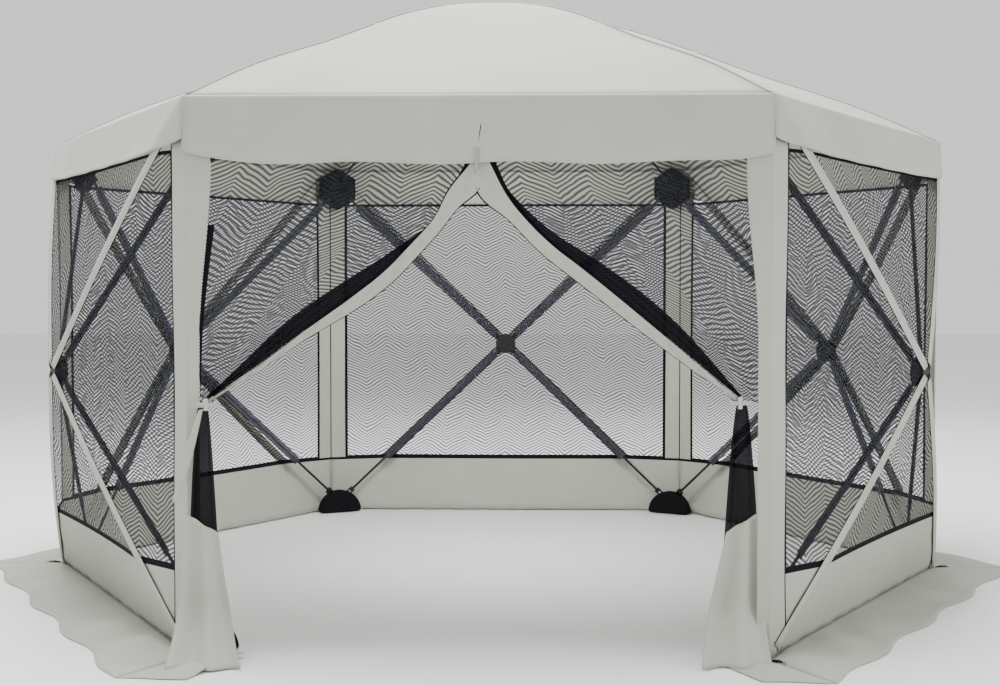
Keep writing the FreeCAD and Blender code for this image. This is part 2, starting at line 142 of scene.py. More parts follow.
def lay(name, rows, finishes, gauge=0.0, pick=None):
    """A sheet of cloth from rows of points, with its own UV map in metres."""
    rows = [[Vector(p) for p in row] for row in rows]
    high, wide = len(rows), len(rows[0])
    faces = [(r * wide + c, r * wide + c + 1, (r + 1) * wide + c + 1, (r + 1) * wide + c)
             for r in range(high - 1) for c in range(wide - 1)]
    mesh = bpy.data.meshes.new(name)
    mesh.from_pydata([p for row in rows for p in row], [], faces)
    across = [[0.0] * wide for _ in rows]
    down = [[0.0] * wide for _ in rows]
    middle = wide // 2
    for r in range(high):
        for c in range(1, wide):
            across[r][c] = across[r][c - 1] + (rows[r][c] - rows[r][c - 1]).length
        across[r] = [a - across[r][middle] for a in across[r]]
        for c in range(wide):
            if r:
                down[r][c] = down[r - 1][c] + (rows[r][c] - rows[r - 1][c]).length
    chart = mesh.uv_layers.new(name="cut")
    for polygon in mesh.polygons:
        for corner, vertex in zip(polygon.loop_indices, polygon.vertices):
            r, c = divmod(vertex, wide)
            chart.data[corner].uv = (across[r][c], down[r][c])
    finishes = finishes if isinstance(finishes, list) else [finishes]
    for finish in finishes:
        mesh.materials.append(finish)
    for i, polygon in enumerate(mesh.polygons):
        polygon.use_smooth = True
        if pick:
            polygon.material_index = pick(*divmod(i, wide - 1))
    piece = bpy.data.objects.new(name, mesh)
    bpy.context.scene.collection.objects.link(piece)
    if gauge:
        thick = piece.modifiers.new("gauge", "SOLIDIFY")
        thick.thickness, thick.offset = gauge, 0
    return piece


def spaced(start, end, count):
    return [start + (end - start) * i / (count - 1) for i in range(count)]


SEAM_AT, LAP, SAG = 0.80, 0.0016, 0.026
seam_edges = [SEAM_AT + d for d in (-0.009, -0.007, 0.007, 0.009)]
gore_reaches = [round(r, 4) for r in spaced(0.03, REACH, 40)] + seam_edges
gore_reaches = sorted(set(gore_reaches), reverse=True)
for k in range(6):
    left, right = ray(60 * k), ray(60 * k + 60)
    rows = []
    for reach in gore_reaches:
        t = 1 - reach / REACH
        lap = LAP if abs(reach - SEAM_AT) < 0.008 else 0
        slack = SAG * math.sin(math.pi * min(1, t * 1.25)) ** 0.8 if t < 0.8 else 0
        row = []
        for s in spaced(0, 1, 25):
            sag = slack * 4 * s * (1 - s)
            point = (left * (1 - s) + right * s) * reach
            point.z = EAVE + through(RIDGE, t) - sag + lap
            row.append(point)
        rows.append(row)
    gore = lay(f"canopy_gore_{k + 1}", rows, canopy_cloth, CLOTH)
    outward = ray(60 * k + 30) * LEVEL
    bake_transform(gore)
    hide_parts("roof_canopy")

# ---- Ridge seams ----
# The gores are joined down each ridge with a narrow felled seam of the same polyester, coloured a
# little darker as painted shade along the seam line. It is stitched through both gores and lies on
# top of them.
HALF_SEAM = 0.005
# The seam's darker colour is painted shade along the ridge, not a darker cloth.
seam_cloth_painted_shade = woven("seam_cloth_painted_shade", (0.33, 0.345, 0.295), (0.29, 0.30, 0.255), 0.85, 0.1)
for k in range(6):
    rows = []
    for reach in spaced(1.749, 0.12, 60):
        height = EAVE + through(RIDGE, 1 - reach / REACH)
        row = []
        for q in (-1, -0.5, 0, 0.5, 1):
            share = abs(q) * HALF_SEAM / reach
            near = ray(60 * k + (60 if q > 0 else -60))
            point = (ray(60 * k) * (1 - share) + near * share) * reach
            point.z = height + 0.0034 - 0.0012 * abs(q)
            row.append(point)
        rows.append(row)
    seam = lay(f"ridge_seam_{k + 1}", rows, seam_cloth_painted_shade, CLOTH)
    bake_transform(seam)

# ---- Crown patch and pull strap ----
# A round patch of canopy cloth covers the point where the six ridges meet. A loop of black
# webbing hangs under it and buttons over the stud on the roof hub, to pull the crown in or out.
rows = []
for out in (0.004, 0.014, 0.026, 0.038, 0.046, 0.050):
    height = EAVE + through(RIDGE, 1 - out / REACH) + 0.0050 - 0.0006 * (out / 0.05) ** 4
    rows.append([ray(a) * out + UP * height for a in range(0, 361, 10)])
patch = lay("crown_patch", rows[::-1], canopy_cloth, CLOTH)
crown = EAVE + RIDGE[-1][1]
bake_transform(patch)
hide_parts("roof_pull_strap")

webbing = woven("webbing", (0.008, 0.008, 0.009), (0.005, 0.005, 0.006), 0.85, 0)
low, high = 2.2155, 2.2275
turn_over = [(-0.007, high), (-0.0072, (low + high) / 2), (-0.0064, low + 0.002), (-0.003, low),
             (0.003, low), (0.0064, low + 0.002), (0.0072, (low + high) / 2), (0.007, high)]
rows = [[Vector((x, y, z)) for x in spaced(-0.009, 0.009, 7)] for y, z in turn_over]
pull = lay("crown_pull_strap", rows, webbing, 0.001)
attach(pull, "roof_hub")
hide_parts("roof_pull_strap")

# ---- Valance ----
# A band of the same polyester is sewn under the eave of each wall. It stands out over the mesh
# where the wall hub pushes the wall out, and its hem is cut in a shallow arch.
WALLS = {30: "1", 90: "2", 150: "3", 210: "4", 330: "5"}
DOOR = 270
MIDDLE = 0.8315
PLANE = REACH * LEVEL
HALF_WALL = 0.875
SPREAD = 0.577


def bulge(x, z):
    """How far a braced wall stands out from its flat plane."""
    a = min(1, abs(x) / HALF_WALL)
    b = min(1, abs(z - MIDDLE) / (MIDDLE if z < MIDDLE else EAVE - MIDDLE))
    m, n = max(a, b, 1e-6), min(a, b)
    slack = 0.016 * (1 - (n / m) ** 2) * 4 * m * (1 - m)
    return 0.222 * (1 - m) - slack + 0.014 * math.sin(math.pi * m)


def on_wall(wall, x, z, out=0.0, braced=True):
    outward = ray(wall)
    along = UP.cross(outward)
    stand = (bulge(x, z) if braced else 0) + out
    return outward * (PLANE + stand) + along * x + UP * z


def hem(x, braced=True):
    """The height of the valance's lower edge, which is deeper over the door."""
    if braced:
        return 1.529 + 0.032 * (abs(x) / HALF_WALL) ** 6
    return 1.489 + 0.004 * math.sin(x * 13) + 0.03 * (abs(x) / HALF_WALL) ** 8


VALANCE_DROPS = [0, 0.02, 0.05, 0.1, 0.2, 0.3, 0.4, 0.5, 0.6, 0.7, 0.8, 0.86, 0.93, 0.95, 1]
for wall in [*WALLS, DOOR]:
    braced = wall != DOOR
    rows = []
    for drop in VALANCE_DROPS:
        row = []
        stand = 0.010 * min(1, drop / 0.02) + 0.007 * drop
        end = HALF_WALL + SPREAD * stand
        for x in spaced(-end, end, 61):
            z = EAVE + (hem(x, braced) - EAVE) * drop
            fold = 0.0016 if drop > 0.92 else 0
            calm = 1 - (abs(x) / end) ** 6
            wave = 0.0035 * drop * calm * math.sin(x * (21 if braced else 30) + wall)
            row.append(on_wall(wall, x, z, stand + calm * fold + wave, braced))
        rows.append(row)
    valance = lay(f"valance_{wall}", rows, canopy_cloth, CLOTH)
    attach(valance, FIXED)
    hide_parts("valance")

# ---- Wall mesh ----
# Each braced wall is four panels of fine black knitted mesh, sewn to the pole sleeves along the
# diagonals and bound with dark tape where they meet the solid cloth.
BAND_TOP = 0.262
WINDOW_TOP = 1.536
WINDOW_SIDE = 0.806

RIB_PITCH, ZIG_WIDTH = 0.0150, 0.1

net = paint("wall_mesh", (0.020, 0.022, 0.026), 0.8, Specular_IOR_Level=0.1)
net_flat = wire(net, "ShaderNodeTexCoord").outputs["UV"]
net_split = wire(net, "ShaderNodeSeparateXYZ", {"Vector": net_flat})
net_wobble = wire(net, "ShaderNodeTexNoise", {"Vector": net_flat}, Scale=7, Detail=2)
zig = wire(net, "ShaderNodeMath", {0: net_split.outputs["X"]}, operation="PINGPONG")
zig.inputs[1].default_value = ZIG_WIDTH
lean = wire(net, "ShaderNodeMath", {0: zig.outputs[0]}, operation="MULTIPLY")
lean.inputs[1].default_value = 0.55
drift = wire(net, "ShaderNodeMath", {0: net_wobble.outputs["Fac"]}, operation="MULTIPLY")
drift.inputs[1].default_value = 0.05
climb = wire(net, "ShaderNodeMath", {0: net_split.outputs["Y"], 1: lean.outputs[0]},
             operation="ADD")
climb = wire(net, "ShaderNodeMath", {0: climb.outputs[0], 1: drift.outputs[0]}, operation="ADD")
beat = wire(net, "ShaderNodeMath", {0: climb.outputs[0]}, operation="MULTIPLY")
beat.inputs[1].default_value = 2 * math.pi / RIB_PITCH
rib = wire(net, "ShaderNodeMath", {0: beat.outputs[0]}, operation="SINE")
patchy = wire(net, "ShaderNodeTexNoise", {"Vector": net_flat}, Scale=17, Detail=3)
swing = wire(net, "ShaderNodeMath", {0: rib.outputs[0], 1: patchy.outputs["Fac"]},
             operation="MULTIPLY")
cover = wire(net, "ShaderNodeMapRange", {"Value": swing.outputs[0]})
for socket, value in zip(("From Min", "From Max", "To Min", "To Max"), (-0.30, 0.30, 0.86, 0.16)):
    cover.inputs[socket].default_value = value
plug(net, cover.outputs["Result"], "Alpha")
tints = ramp(net, patchy.outputs["Fac"], (0.35, (0.015, 0.016, 0.020)),
             (0.65, (0.025, 0.028, 0.032)))
plug(net, tints, "Base Color")

binding = woven("dark_binding", (0.006, 0.006, 0.010), (0.004, 0.004, 0.006), 0.85, 0)


def sampled(corners, step):
    """Points along a polyline, no further apart than step, corners kept."""
    points = [Vector(corners[0])]
    for start, end in zip(corners, corners[1:]):
        start, end = Vector(start), Vector(end)
        count = max(2, math.ceil((end - start).length / step) + 1)
        points += [start.lerp(end, i / (count - 1)) for i in range(1, count)]
    return points


def follow(piece):
    """Bakes a piece of a braced wall into its world place, where it stays fixed."""
    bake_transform(piece)


top_exit = HALF_WALL * (WINDOW_TOP - MIDDLE) / (EAVE - MIDDLE)
foot_exit = HALF_WALL * (MIDDLE - BAND_TOP) / MIDDLE
PANELS = {
    "top": [(-top_exit, WINDOW_TOP), (top_exit, WINDOW_TOP)],
    "foot": [(foot_exit, BAND_TOP), (-foot_exit, BAND_TOP)],
    "right": [(top_exit, WINDOW_TOP), (WINDOW_SIDE, WINDOW_TOP), (WINDOW_SIDE, BAND_TOP),
              (foot_exit, BAND_TOP)],
    "left": [(-foot_exit, BAND_TOP), (-WINDOW_SIDE, BAND_TOP), (-WINDOW_SIDE, WINDOW_TOP),
             (-top_exit, WINDOW_TOP)],
}
for wall in WALLS:
    for side, corners in PANELS.items():
        rim = sampled(corners, 0.05)
        rows = []
        for share in [1, 0.984, 0.95] + spaced(0.9, 0.05, 14):
            rows.append([on_wall(wall, p.x * share, MIDDLE + (p.y - MIDDLE) * share) for p in rim])
        panel = lay(f"mesh_{side}_{WALLS[wall]}", rows, [net, binding], 0,
                    lambda r, c: 1 if r == 0 else 0)
        flat_map = panel.data.uv_layers["cut"]
        along = UP.cross(ray(wall))
        for loop in panel.data.loops:
            co = panel.data.vertices[loop.vertex_index].co
            flat_map.data[loop.index].uv = (co.dot(along), co.z)
        follow(panel)
        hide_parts("wall_panel_" + WALLS[wall])

# ---- Lower bands ----
# Solid polyester closes the foot of each braced wall, in three pieces that meet at the pole
# sleeves, with a dark taped seam along the top.
BANDS = {
    "foot": lambda z: (-HALF_WALL * (MIDDLE - z) / MIDDLE, HALF_WALL * (MIDDLE - z) / MIDDLE),
    "left": lambda z: (-HALF_WALL, -HALF_WALL * (MIDDLE - z) / MIDDLE),
    "right": lambda z: (HALF_WALL * (MIDDLE - z) / MIDDLE, HALF_WALL),
}
for wall in WALLS:
    for side, ends in BANDS.items():
        rows = []
        for z in [BAND_TOP, BAND_TOP - 0.011] + spaced(BAND_TOP - 0.03, 0.004, 9):
            low, high = ends(z)
            row = []
            for x in spaced(low, high, 41 if side == "foot" else 9):
                pucker = 0.003 * math.sin(x * 40 + wall) * (1 - z / BAND_TOP)
                row.append(on_wall(wall, x, z, pucker))
            rows.append(row)
        band = lay(f"lower_band_{side}_{WALLS[wall]}", rows, [canopy_cloth, binding], CLOTH,
                   lambda r, c: 1 if r == 0 else 0)
        follow(band)

# ---- Corner strips ----
# An upright band of polyester covers each corner, sewn down the corner in two halves with dark
# taped outer edges. Beside the door its loose half has no tape and is drawn in by the tie-back.
def drawn_in(z):
    """How much of its width a strip beside the door keeps where the tie-back draws it in."""
    share = min(1, max(0, (1.50 - z) / 0.55))
    return 1 - 0.5 * share * share * (3 - 2 * share)


for wall in [*WALLS, DOOR]:
    for side, sign in (("left", -1), ("right", 1)):
        rows = []
        for z in spaced(hem(0.85) + 0.02, 0.004, 33):
            row = []
            for x in (0.8767, 0.8735, 0.855, 0.835, 0.815, 0.8055, 0.800):
                x = 0.8767 - (0.8767 - x) * (drawn_in(z) if wall == DOOR else 1)
                ease = 0.0015 * math.sin(z * 9 + wall + sign) * (0.877 - x) / 0.07
                row.append(on_wall(wall, sign * x, z, 0.003 + ease, wall != DOOR))
            rows.append(row if sign > 0 else row[::-1])
        edge, seam = (5, 0) if sign > 0 else (0, 5)
        dark = (edge, seam) if wall in (30, 90, 150) else () if wall == DOOR else (edge,)
        strip = lay(f"corner_strip_{side}_{wall}", rows, [canopy_cloth, binding], CLOTH,
                    lambda r, c: 1 if c in dark else 0)
        if wall == DOOR:
            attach(strip, FIXED)
        else:
            follow(strip)
        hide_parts("corner_strips")

# ---- Outer pole sleeves ----
# A strip of canopy cloth is sewn over each diagonal on the outside, from the corner to the hub,
# with a dark turned edge on both sides.
HALF_SLEEVE = 0.0225
SLEEVES = [("top", 1, EAVE, "right", "top"), ("top", -1, EAVE, "top", "left"),
           ("foot", 1, 0.0, "foot", "right"), ("foot", -1, 0.0, "left", "foot")]
for wall in WALLS:
    for stem, sign, end, under, over in SLEEVES:
        along = Vector((sign * HALF_WALL, end - MIDDLE)).normalized()
        across = Vector((-along.y, along.x))
        reach = Vector((HALF_WALL, end - MIDDLE)).length
        for half, side, edges in (("under", under, (-HALF_SLEEVE, -0.0205, -0.014, -0.007, 0)),
                                  ("over", over, (0, 0.007, 0.014, 0.0205, HALF_SLEEVE))):
            rows = []
            for d in spaced(reach - 0.045, 0.030, 36):
                row = []
                for e in edges:
                    p = along * d + across * e
                    crown = 0.0025 * (1 - (e / HALF_SLEEVE) ** 2)
                    row.append(on_wall(wall, p.x, MIDDLE + p.y, 0.0055 + crown))
                rows.append(row)
            dark = 0 if half == "under" else 3
            name = f"outer_sleeve_{stem}_{'right' if sign > 0 else 'left'}_{half}_{WALLS[wall]}"
            sleeve = lay(name, rows, [canopy_cloth, binding], CLOTH,
                         lambda r, c: 1 if c == dark else 0)
            follow(sleeve)

# ---- Inner pole sleeves ----
# On the inside each wall pole runs in a flat sleeve of sheer dark cloth with black bound edges.
# The sleeve is open at the ends, where the bare pole leaves it.
sheer = woven("sheer_sleeve", (0.060, 0.060, 0.080), (0.045, 0.045, 0.062), 0.85, 0)
sheer.node_tree.nodes["Principled BSDF"].inputs["Alpha"].default_value = 0.72
HUB_REACH, TOP_HUB, FOOT_HUB, PIN_REACH, POP, TIP = 1.665, 1.618, 0.045, 0.097, 0.261, 0.044
LENS = [(-0.0215, 0), (-0.0185, 0.0022), (-0.009, 0.0068), (0, 0.0078), (0.009, 0.0068),
        (0.0185, 0.0022), (0.0215, 0), (0.0185, -0.0022), (0.009, -0.0068), (0, -0.0078),
        (-0.009, -0.0068), (-0.0185, -0.0022), (-0.0215, 0)]


def pole_line(wall, turn, height):
    """The hinge point, the direction and the length of one wall pole at rest."""
    hub = ray(wall + turn) * HUB_REACH + UP * height
    middle = ray(wall) * (HUB_REACH * LEVEL) + UP * (TOP_HUB + FOOT_HUB) / 2
    flat = (middle - hub).normalized()
    pin = hub + flat * PIN_REACH
    tip = middle + ray(wall) * POP - flat * TIP
    return pin, (tip - pin).normalized(), (tip - pin).length


for wall in WALLS:
    for letter, turn, height in (("a", 30, TOP_HUB), ("b", -30, TOP_HUB), ("c", 30, FOOT_HUB),
                                 ("d", -30, FOOT_HUB)):
        pin, lean, length = pole_line(wall, turn, height)
        sideways = lean.cross(ray(wall)).normalized()
        outwards = sideways.cross(lean)
        first = 0.05 if height == TOP_HUB else (BAND_TOP + 0.01 - pin.z) / lean.z
        rows = []
        for d in spaced(first, length - 0.03, 30):
            rows.append([pin + lean * d + sideways * u + outwards * v for u, v in LENS])
        body = f"wall_pole_{WALLS[wall]}{letter}"
        sleeve = lay("sleeve_of_" + body, rows, [sheer, binding], 0,
                     lambda r, c: 1 if c in (0, 5, 6, 11) else 0)
        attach(sleeve, body)

# ---- Hub covers ----
# A stuffed cover of dark cloth is laced over each corner hub: six-sided and pointed at the top
# under the roof, and half round where it stands on the ground. Beside the door it is smaller.
cover_cloth = woven("cover_cloth", (0.0045, 0.0045, 0.0065), (0.003, 0.003, 0.004), 0.75, 0)


def settle(piece, place, finish):
    """Puts a finished piece's place into its mesh and gives it its finish."""
    piece.data.transform(place)
    piece.matrix_world = Matrix.Identity(4)
    piece.data.materials.clear()
    piece.data.materials.append(finish)
    piece.select_set(False)


def turned(corner, reach, height):
    """Stands a piece made along Z out from the middle, with its X up."""
    outward = ray(corner)
    columns = [UP, outward.cross(UP), outward]
    turn = Matrix(columns).transposed().to_4x4()
    return Matrix.Translation(outward * reach + UP * height) @ turn


for i in range(6):
    bpy.ops.mesh.primitive_cylinder_add(vertices=6, radius=0.103, depth=0.046)
    cover = bpy.context.object
    cover.name = f"upper_hub_cover_{i + 1}"
    bpy.ops.object.mode_set(mode="EDIT")
    bpy.ops.mesh.select_all(action="SELECT")
    bpy.ops.transform.rotate(value=math.radians(90), orient_axis="Z", center_override=(0, 0, 0))
    bpy.ops.mesh.select_mode(type="FACE")
    bpy.ops.mesh.select_all(action="DESELECT")
    bpy.ops.object.mode_set(mode="OBJECT")
    for face in cover.data.polygons:
        face.select = abs(face.normal.z) > 0.9
    bpy.ops.object.mode_set(mode="EDIT")
    bpy.ops.mesh.inset(thickness=0.022, depth=0.010)
    bpy.ops.mesh.inset(thickness=0.026, depth=0.004)
    bpy.ops.object.mode_set(mode="OBJECT")
    for kind in ("BEVEL", "SUBSURF"):
        step = cover.modifiers.new(kind, kind)
        if kind == "BEVEL":
            step.width, step.segments = 0.006, 2
        else:
            step.levels = step.render_levels = 2
        bpy.ops.object.modifier_apply(modifier=kind)
    for v in cover.data.vertices:
        around = math.atan2(v.co.y, v.co.x)
        v.co.z += 0.0025 * math.sin(around * 9 + i) * min(1, v.co.xy.length / 0.08)
    bpy.ops.object.shade_smooth()
    settle(cover, turned(60 * i, HUB_REACH - 0.012, TOP_HUB - 0.014), cover_cloth)
    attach(cover, FIXED)
    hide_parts("upper_hub_covers")

for i in range(6):
    beside_door = i in (4, 5)
    bpy.ops.mesh.primitive_cylinder_add(vertices=32, radius=0.080 if beside_door else 0.108,
                                        depth=0.066)
    cover = bpy.context.object
    cover.name = f"lower_hub_cover_{i + 1}"
    bpy.ops.object.mode_set(mode="EDIT")
    bpy.ops.mesh.select_all(action="SELECT")
    bpy.ops.mesh.bisect(plane_co=(0, 0, 0), plane_no=(1, 0, 0), use_fill=True, clear_inner=True)
    bpy.ops.object.mode_set(mode="OBJECT")
    step = cover.modifiers.new("BEVEL", "BEVEL")
    step.width, step.segments = 0.016, 4
    bpy.ops.object.modifier_apply(modifier="BEVEL")
    bpy.ops.object.shade_smooth()
    settle(cover, turned(60 * i, HUB_REACH - 0.025, 0.002), cover_cloth)
    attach(cover, FIXED)
    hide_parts("lower_hub_covers")

# ---- Door flaps ----
# The door is two mesh flaps parted from the zip and gathered back to the corners. Each has a
# canopy-cloth edge with the zip tape on it, and a solid foot band below the mesh. The left one is
# gathered further over its corner than the right one.
packed_net = woven("packed_mesh", (0.004, 0.004, 0.008), (0.002, 0.002, 0.004), 0.9, 0)
packed_net.node_tree.nodes["Principled BSDF"].inputs["Alpha"].default_value = 0.97
TIE = {-1: Vector((-0.812, 0.768)), 1: Vector((0.784, 0.775))}
EDGE = {-1: [(0.008, 1.522), (-0.066, 1.395), (-0.111, 1.305), (-0.231, 1.195), (-0.381, 1.081),
             (-0.530, 0.977), (-0.660, 0.880), (-0.812, 0.776)],
        1: [(0.018, 1.522), (0.080, 1.395), (0.128, 1.335), (0.224, 1.239), (0.308, 1.174),
            (0.532, 0.992), (0.780, 0.785)]}


def path_point(points, s):
    """A point a share s along a smooth path."""
    steps = [0.0]
    for a, b in zip(points, points[1:]):
        steps.append(steps[-1] + math.dist(a, b))
    steps = [v / steps[-1] for v in steps]
    return Vector([through([(t, p[i]) for t, p in zip(steps, points)], s)
                   for i in range(len(points[0]))])


for name, sign in (("left", -1), ("right", 1)):
    rows = []
    for s in spaced(0, 1, 45):
        edge = path_point(EDGE[sign], s)
        far = Vector((0, 1.535 + (TIE[sign].y - 1.535) * s))
        far.x = sign * (0.8767 - 0.0747 * drawn_in(far.y))
        row = []
        for q in spaced(0, 1, 33):
            p = edge.lerp(far, q)
            gather = s**1.6
            fold = 0.012 * gather * math.sin(q * 34 + 3 * s) * (1 - 0.6 * q)
            drape = 0.02 * math.sin(math.pi * q) * (1 - s)
            row.append(on_wall(DOOR, p.x, p.y - drape * s, -0.012 - fold - drape, False))
        rows.append(row)
    flap = lay(f"door_mesh_{name}", rows, [net, binding], 0,
               lambda r, c: 1 if c == 0 or (sign < 0 and c == 31 and r > 12) else 0)
    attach(flap, FIXED)
    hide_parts(f"door_flap_{name}")

    rows = []
    for s in spaced(0, 1, 60):
        edge = path_point(EDGE[sign], s)
        ahead = path_point(EDGE[sign], min(1, s + 0.01)) - path_point(EDGE[sign], max(0, s - 0.01))
        ahead.normalize()
        inside = Vector((-ahead.y, ahead.x)) * -sign
        at_zip = 0.045 * math.exp(-((s - 0.09) / 0.07) ** 2)
        width = 0.014 + 0.030 * math.sin(math.pi * min(1, 0.08 + s)) ** 0.6 + at_zip
        inset = 0.15
        if sign < 0:
            inset += 0.55 * math.exp(-((s - 0.24) / 0.12) ** 2)
            # On the left flap the pale edge narrows along its lower half so that less pale cloth
            # shows: painted shade for the shaded underside of that edge.
            width *= 1 - 0.45 * max(0, min(1, (s - 0.5) / 0.25))
        row = []
        for q in (0, 0.06, 0.25, 0.5, 0.75, 0.94, 1):
            p = edge + inside * (q - inset) * width
            ruck = 0.0035 * math.sin(s * 131 + 9 * q) + 0.003 * math.sin(s * 67 - 5 * q)
            row.append(on_wall(DOOR, p.x, p.y, 0.004 + ruck * math.sin(math.pi * q), False))
        rows.append(row)
    edging = lay(f"door_edge_{name}", rows, [canopy_cloth, binding], CLOTH,
                 lambda r, c: 1 if c in (0, 5) else 0)
    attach(edging, FIXED)

    rows = []
    for s in spaced(0.12, 1, 60):
        edge = path_point(EDGE[sign], s)
        ahead = path_point(EDGE[sign], min(1, s + 0.01)) - path_point(EDGE[sign], max(0, s - 0.01))
        ahead.normalize()
        above = Vector((-ahead.y, ahead.x)) * sign
        width = 0.010 + 0.045 * math.sin(math.pi * s**1.5) ** 1.2
        row = []
        for q in spaced(0, 1, 17):
            p = edge + above * (0.006 + q * width)
            pleat = 0.008 * math.sin(q * 19 + s * 5) * s
            row.append(on_wall(DOOR, p.x, p.y, -0.004 - 0.004 * q + pleat, False))
        rows.append(row)
    gather = lay(f"door_gather_{name}", rows, packed_net, 0)
    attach(gather, FIXED)

    rows = []
    tie = TIE[sign]
    for s in spaced(0, 1, 40):
        z = tie.y - 0.01 - s * (tie.y - (0.385 if sign < 0 else 0.34))
        width = 0.030 + (0.055 if sign < 0 else 0.075) * s**0.7
        row = []
        for q in spaced(0, 1, 41):
            x = tie.x + sign * 0.010 + (q - 0.5) * width
            pleat = 0.030 * (0.4 + s) * math.sin(q * 28) * (0.5 + 0.5 * math.sin(q * 5 + 2))
            pleat *= 1 - 0.7 * s**4
            row.append(on_wall(DOOR, x, z, (0.030 if sign < 0 else -0.030) + pleat * 0.6, False))
        rows.append(row)
    bunch = lay(f"door_bunch_{name}", rows, packed_net, 0)
    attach(bunch, FIXED)

    rows = []
    for s in spaced(0, 1, 30):
        z = 0.385 - 0.38 * s
        flare = 0.20 * max(0, s - 0.55) ** 1.6 * 2.2
        row = []
        for q in spaced(0, 1, 31):
            width = 0.100 + (0.080 * s + 0.040 * s**4 if sign < 0 else 0.11 * s)
            lean = 0.010 * s + 0.020 * s**4 if sign < 0 else -0.03 * s
            x = tie.x + sign * 0.012 + (q - 0.5) * width + lean
            pleat = 0.018 * math.sin(q * 11 + 1.3) * (0.4 + 0.6 * s)
            rise = 0.06 * (1 - s) ** 3 * (q if sign > 0 else 1 - q)
            stand = (0.052 if sign < 0 else -0.010) + pleat + flare
            row.append(on_wall(DOOR, x, max(0.004, z + rise), stand, False))
        rows.append(row)
    foot = lay(f"door_foot_{name}", rows, canopy_cloth, CLOTH)
    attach(foot, FIXED)

rows = []
for s in spaced(0, 1, 25):
    x, z = -0.822 - 0.078 * s, 0.755 - 0.275 * s
    half = 0.006 + 0.006 * math.sin(math.pi * s) + 0.004 * s
    rows.append([on_wall(DOOR, x + q * half, z + 0.3 * q * half, 0.056 + 0.004 * (1 - q * q), False)
                 for q in (-1, -0.5, 0, 0.5, 1)])
tail = lay("door_tail_left", rows, canopy_cloth, CLOTH)
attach(tail, FIXED)

# ---- Tie-backs ----
# Each gathered flap is held at its corner by a flat loop of canopy tape, closed over a moulded
# ivory toggle with a waist in its middle.
def grained(name, light, dark, rough, scale, bump, **sockets):
    """A hard finish with fine grain in its colour, gloss and surface."""
    finish = paint(name, light, rough, **sockets)
    solid = wire(finish, "ShaderNodeTexCoord").outputs["Object"]
    grain = wire(finish, "ShaderNodeTexNoise", {"Vector": solid}, Scale=scale, Detail=8)
    plug(finish, ramp(finish, grain.outputs["Fac"], (0.35, dark), (0.65, light)), "Base Color")
    gloss = wire(finish, "ShaderNodeMapRange", {"Value": grain.outputs["Fac"]})
    gloss.inputs["To Min"].default_value = rough * 0.8
    gloss.inputs["To Max"].default_value = min(1, rough * 1.2)
    plug(finish, gloss.outputs["Result"], "Roughness")
    pits = wire(finish, "ShaderNodeBump", {"Height": grain.outputs["Fac"]}, Strength=bump,
                Distance=0.0005)
    plug(finish, pits.outputs["Normal"], "Normal")
    return finish


LOOP_LONG = 0.064
ivory = grained("toggle_plastic", (0.50, 0.50, 0.47), (0.43, 0.43, 0.40), 0.4, 300, 0.1)
for name, sign in (("left", -1), ("right", 1)):
    x, z, depth = TIE[sign].x, TIE[sign].y, 0.012 if sign > 0 else 0.036
    rows = []
    for s in spaced(0, 1, 17):
        tall = 0.0042 + 0.0012 * math.cos(math.pi * s) ** 2
        deep = 0.0022 + 0.0030 * math.sin(math.pi * s) ** 2
        rows.append([on_wall(DOOR, x + LOOP_LONG * (s - 0.5), z + tall * ray(a).y,
                             depth + deep * ray(a).x, False) for a in range(0, 361, 20)])
    loop = lay(f"tie_loop_{name}", rows, canopy_cloth, 0.001)
    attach(loop, FIXED)
    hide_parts(f"tie_back_{name}")

    bpy.ops.mesh.primitive_cylinder_add(vertices=24, radius=0.007, depth=0.036)
    toggle = bpy.context.object
    toggle.name = f"tie_toggle_{name}"
    step = toggle.modifiers.new("BEVEL", "BEVEL")
    step.width, step.segments = 0.0025, 3
    bpy.ops.object.modifier_apply(modifier="BEVEL")
    bpy.ops.object.mode_set(mode="EDIT")
    bpy.ops.mesh.select_all(action="SELECT")
    bpy.ops.mesh.subdivide(number_cuts=5)
    bpy.ops.object.mode_set(mode="OBJECT")
    for v in toggle.data.vertices:
        waist = 1 - 0.22 * math.exp(-((v.co.z / 0.006) ** 2))
        v.co.x, v.co.y = v.co.x * waist, v.co.y * waist
    bpy.ops.object.shade_smooth()
    settle(toggle, Matrix.Translation(on_wall(DOOR, x, z, depth, False)), ivory)
    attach(toggle, FIXED)
    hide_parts(f"tie_back_{name}")

# ---- Zip tape ----
# The top of the door zip is closed above the slider: a narrow dark slit in the valance that
# opens out slightly towards the slider.
rows = []
for s in spaced(0, 1, 13):
    z = 1.603 - 0.083 * s
    half = 0.0018 + 0.0046 * s
    rows.append([on_wall(DOOR, q * half + 0.012 * (1 - s), z, 0.0135 + 0.002 * (1 - abs(q)), False)
                 for q in (-1, -0.5, 0, 0.5, 1)])
slit = lay("zip_slit", rows, binding)
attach(slit, FIXED)
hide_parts("zip_tape")

